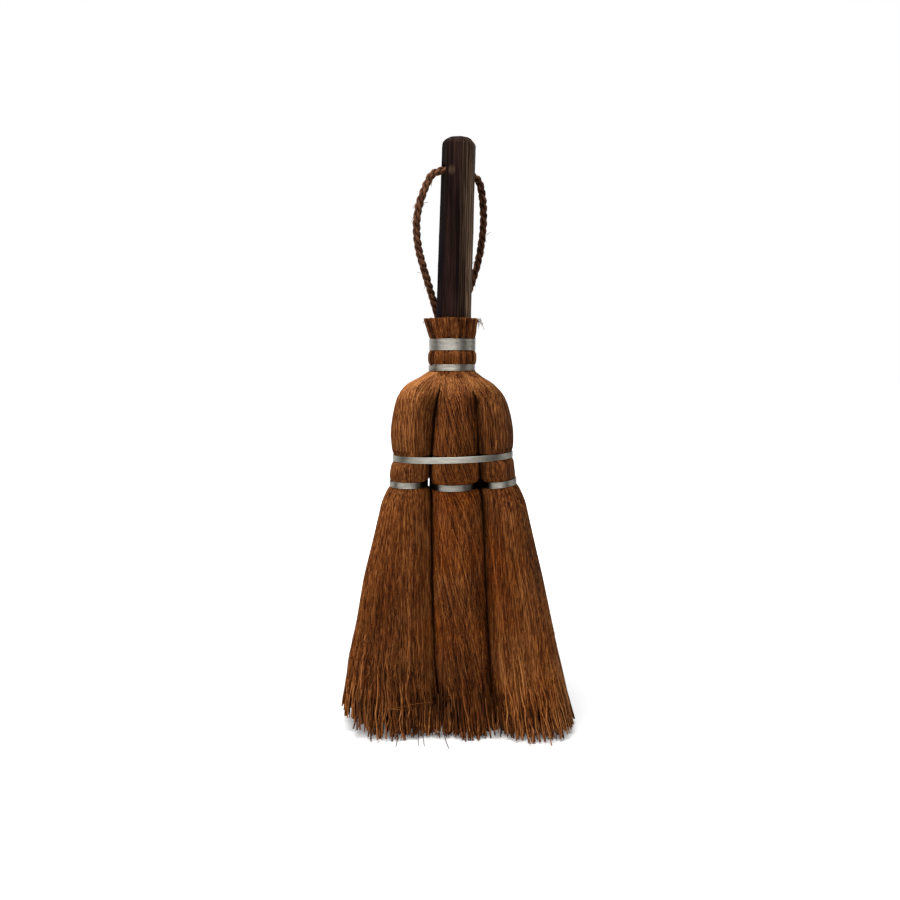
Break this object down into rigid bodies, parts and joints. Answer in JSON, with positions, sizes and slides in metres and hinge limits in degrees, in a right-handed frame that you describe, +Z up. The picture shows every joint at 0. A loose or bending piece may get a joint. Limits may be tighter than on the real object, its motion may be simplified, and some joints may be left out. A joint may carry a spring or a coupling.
{
  "type": "hand broom",
  "caption": "Free-standing hand broom of palm fibre: flared bundles bound with wire round a faceted wooden handle, with a hanging loop of twisted cord.",
  "frame": {"origin": "middle of the broom's outline seen from above, on the surface that the bristle tips stand on", "axes": "+Z up along the broom, -Y towards the front, +X to the right seen from the front"},
  "size_m": [0.1597, 0.06, 0.4002],
  "materials": {
    "handle_wood": "satin",
    "palm_fibre": "matte",
    "cord_fibre": "matte",
    "binding_wire": "satin",
    "bamboo": "matte",
    "nail_brass": "satin"
  },
  "bodies": {
    "broom": {"handle": "handle_wood", "handle_nail": "nail_brass", "bamboo_skewer": "bamboo", "upper_collar_wire": "binding_wire", "lower_collar_wire": "binding_wire", "waist_band_wire": "binding_wire", "left_tie_wire": "binding_wire", "middle_tie_wire": "binding_wire", "right_tie_wire": "binding_wire", "left_wrap": "palm_fibre", "left_core": "palm_fibre", "middle_wrap": "palm_fibre", "middle_core": "palm_fibre", "right_wrap": "palm_fibre", "right_core": "palm_fibre"},
    "hanging_loop": {"hanging_cord": "cord_fibre", "cord_knot": "cord_fibre"}
  },
  "joints": [
    {"name": "loop_swing", "type": "hinge", "parent": "broom", "child": "hanging_loop", "pos_m": [-0.00048, 0, 0.37795], "axis": [0.8656, 0.5, -0.0272], "range_deg": [0, 335]}
  ]
}
